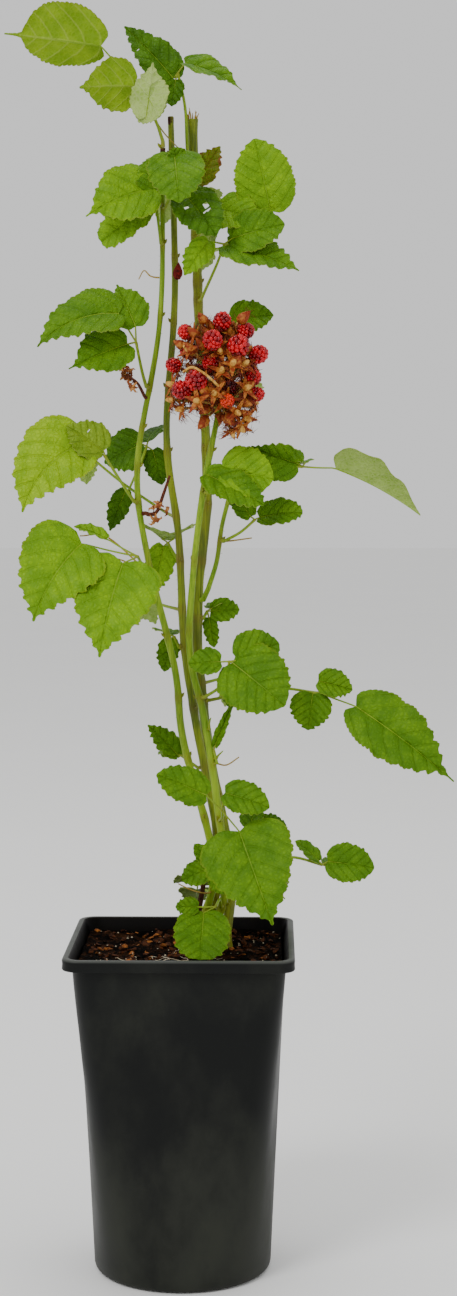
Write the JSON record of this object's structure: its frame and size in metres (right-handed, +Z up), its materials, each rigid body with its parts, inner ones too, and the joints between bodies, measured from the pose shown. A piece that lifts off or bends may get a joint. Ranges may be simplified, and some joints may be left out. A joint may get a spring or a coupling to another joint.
{
  "type": "potted japanese wineberry",
  "caption": "Young bramble plant with slender upright canes, toothed three-part leaves and one cluster of red berries, in a square-topped black nursery pot full of soil.",
  "frame": {"origin": "centre of the flat underside of the pot, on the plane it stands on", "axes": "+Z up along the canes, +X to the right and -Y towards the viewer in the front view"},
  "size_m": [0.2534, 0.1526, 0.7224],
  "materials": {
    "pot_plastic": "moulded charcoal-black plastic with a faint satin sheen",
    "potting_soil": "damp dark brown peat soil with bark chips",
    "green_cane": "smooth yellow-green living cane with reddish nodes and fine bristles",
    "dead_cane": "dry brown dead stem",
    "red_fruit": "glossy translucent red berries in bristly red-brown calyces",
    "leaf": "soft toothed leaf, fresh green above and pale felted beneath"
  },
  "bodies": {
    "root": {"pot": "pot_plastic", "soil": "potting_soil", "cane_left": "green_cane", "cane_fruiting": "green_cane", "cane_middle": "green_cane", "cane_right": "green_cane", "lateral_right": "green_cane", "dead_stump": "dead_cane", "fruit_cluster": "red_fruit", "foliage_top_left": "leaf", "foliage_top_right": "leaf", "foliage_upper_left": "leaf", "foliage_upper_front": "leaf", "foliage_upper_right": "leaf", "foliage_upper_right_low": "leaf", "foliage_mid_left": "leaf", "foliage_mid_right": "leaf", "foliage_left_high": "leaf", "foliage_left_inner": "leaf", "foliage_left_low": "leaf", "foliage_centre": "leaf", "foliage_right_inner": "leaf", "foliage_right_curled": "leaf", "foliage_right_reach": "leaf", "foliage_right_low": "leaf", "foliage_right_long": "leaf", "foliage_low_front": "leaf", "foliage_low_right": "leaf", "foliage_low_back": "leaf", "foliage_foot": "leaf", "foliage_foot_left": "leaf", "foliage_stem_left": "leaf", "foliage_stem_middle": "leaf", "foliage_stem_right": "leaf", "young_shoot": "leaf", "dead_twig": "dead_cane", "dead_flower_stub": "dead_cane", "foliage_back_top": "leaf", "foliage_upper_back": "leaf", "foliage_back_upper": "leaf", "foliage_back_high": "leaf", "foliage_back_left": "leaf", "foliage_back_middle": "leaf", "foliage_back_right": "leaf", "foliage_back_low": "leaf", "foliage_back_foot": "leaf"}
  },
  "joints": []
}
